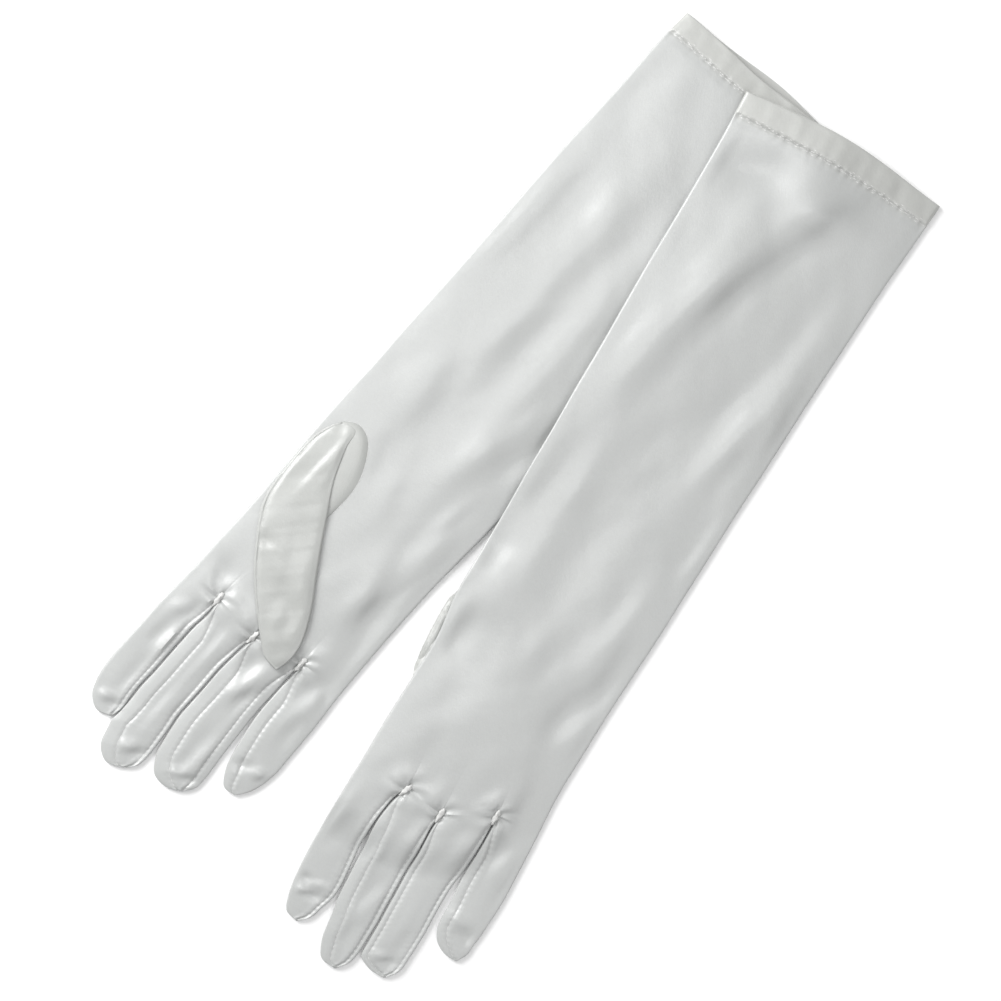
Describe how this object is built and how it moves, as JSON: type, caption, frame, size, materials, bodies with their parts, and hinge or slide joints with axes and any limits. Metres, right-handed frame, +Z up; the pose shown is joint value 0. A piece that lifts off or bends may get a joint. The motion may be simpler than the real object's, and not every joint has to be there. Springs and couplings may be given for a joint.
{
  "type": "opera gloves",
  "caption": "Pair of elbow-length stretch satin opera gloves with forked fingers, set-in thumbs and hemmed cuffs, laid flat with the left sleeve across the right.",
  "frame": {"origin": "centre of the pair's outline, on the surface it lies on", "axes": "+Z up from the surface, +Y from the finger ends to the cuffs, +X from the right glove's hand to the left glove's hand"},
  "size_m": [0.2272, 0.4832, 0.0147],
  "materials": {
    "satin": "ivory white stretch satin with a soft sheen",
    "thread": "white polyester sewing thread"
  },
  "bodies": {
    "right_glove": {"right_back": "satin", "right_hem_thread": "thread", "right_palm": "satin", "right_side_seam_thread": "thread", "right_thumb_gusset": "satin", "right_thumb_seam_thread": "thread"},
    "right_index": {"right_index_back": "satin", "right_index_fork_middle_side": "satin", "right_index_palm": "satin", "right_index_seam_thread": "thread"},
    "right_middle": {"right_middle_back": "satin", "right_middle_fork_index_side": "satin", "right_middle_fork_ring_side": "satin", "right_middle_palm": "satin", "right_middle_seam_thread": "thread"},
    "right_ring": {"right_ring_back": "satin", "right_ring_fork_little_side": "satin", "right_ring_fork_middle_side": "satin", "right_ring_palm": "satin", "right_ring_seam_thread": "thread"},
    "right_little": {"right_little_back": "satin", "right_little_fork_ring_side": "satin", "right_little_palm": "satin", "right_little_seam_thread": "thread"},
    "right_thumb": {"right_thumb": "satin"},
    "left_glove": {"left_back": "satin", "left_hem_thread": "thread", "left_palm": "satin", "left_side_seam_thread": "thread", "left_thumb_gusset": "satin", "left_thumb_seam_thread": "thread"},
    "left_index": {"left_index_back": "satin", "left_index_fork_middle_side": "satin", "left_index_palm": "satin", "left_index_seam_thread": "thread"},
    "left_middle": {"left_middle_back": "satin", "left_middle_fork_index_side": "satin", "left_middle_fork_ring_side": "satin", "left_middle_palm": "satin", "left_middle_seam_thread": "thread"},
    "left_ring": {"left_ring_back": "satin", "left_ring_fork_little_side": "satin", "left_ring_fork_middle_side": "satin", "left_ring_palm": "satin", "left_ring_seam_thread": "thread"},
    "left_little": {"left_little_back": "satin", "left_little_fork_ring_side": "satin", "left_little_palm": "satin", "left_little_seam_thread": "thread"},
    "left_thumb": {"left_thumb": "satin"}
  },
  "joints": [
    {"name": "left_glove_lift", "type": "slide", "parent": "right_glove", "child": "left_glove", "axis": [0, 0, 1], "range_m": [0, 0.25]},
    {"name": "right_index_fold", "type": "hinge", "parent": "right_glove", "child": "right_index", "pos_m": [-0.09665, -0.12694, 0.005], "axis": [-0.9936, 0.1131, 0], "range_deg": [0, 90]},
    {"name": "right_middle_fold", "type": "hinge", "parent": "right_glove", "child": "right_middle", "pos_m": [-0.07464, -0.13217, 0.005], "axis": [-0.994, 0.1096, 0], "range_deg": [0, 90]},
    {"name": "right_ring_fold", "type": "hinge", "parent": "right_glove", "child": "right_ring", "pos_m": [-0.04919, -0.13958, 0.005], "axis": [-0.9969, 0.0783, 0], "range_deg": [0, 90]},
    {"name": "right_little_fold", "type": "hinge", "parent": "right_glove", "child": "right_little", "pos_m": [-0.02301, -0.13177, 0.005], "axis": [-0.9983, 0.0576, 0], "range_deg": [0, 90]},
    {"name": "left_index_fold", "type": "hinge", "parent": "left_glove", "child": "left_index", "pos_m": [0.02958, -0.15272, 0.0093], "axis": [-0.9984, -0.0565, 0], "range_deg": [0, 90]},
    {"name": "left_middle_fold", "type": "hinge", "parent": "left_glove", "child": "left_middle", "pos_m": [0.05312, -0.15289, 0.0093], "axis": [-0.9967, -0.0809, 0], "range_deg": [0, 90]},
    {"name": "left_ring_fold", "type": "hinge", "parent": "left_glove", "child": "left_ring", "pos_m": [0.07523, -0.15105, 0.0093], "axis": [-0.9964, -0.0847, 0], "range_deg": [0, 90]},
    {"name": "left_little_fold", "type": "hinge", "parent": "left_glove", "child": "left_little", "pos_m": [0.09748, -0.13597, 0.0079], "axis": [-0.9936, -0.1126, 0], "range_deg": [0, 90]},
    {"name": "right_thumb_lift", "type": "hinge", "parent": "right_glove", "child": "right_thumb", "pos_m": [-0.07647, -0.07752, 0.01195], "axis": [-0.8784, -0.4779, 0], "range_deg": [0, 110]},
    {"name": "left_thumb_swing", "type": "hinge", "parent": "left_glove", "child": "left_thumb", "pos_m": [0.03253, -0.10012, 0], "axis": [0, 0, -1], "range_deg": [0, 60]}
  ]
}
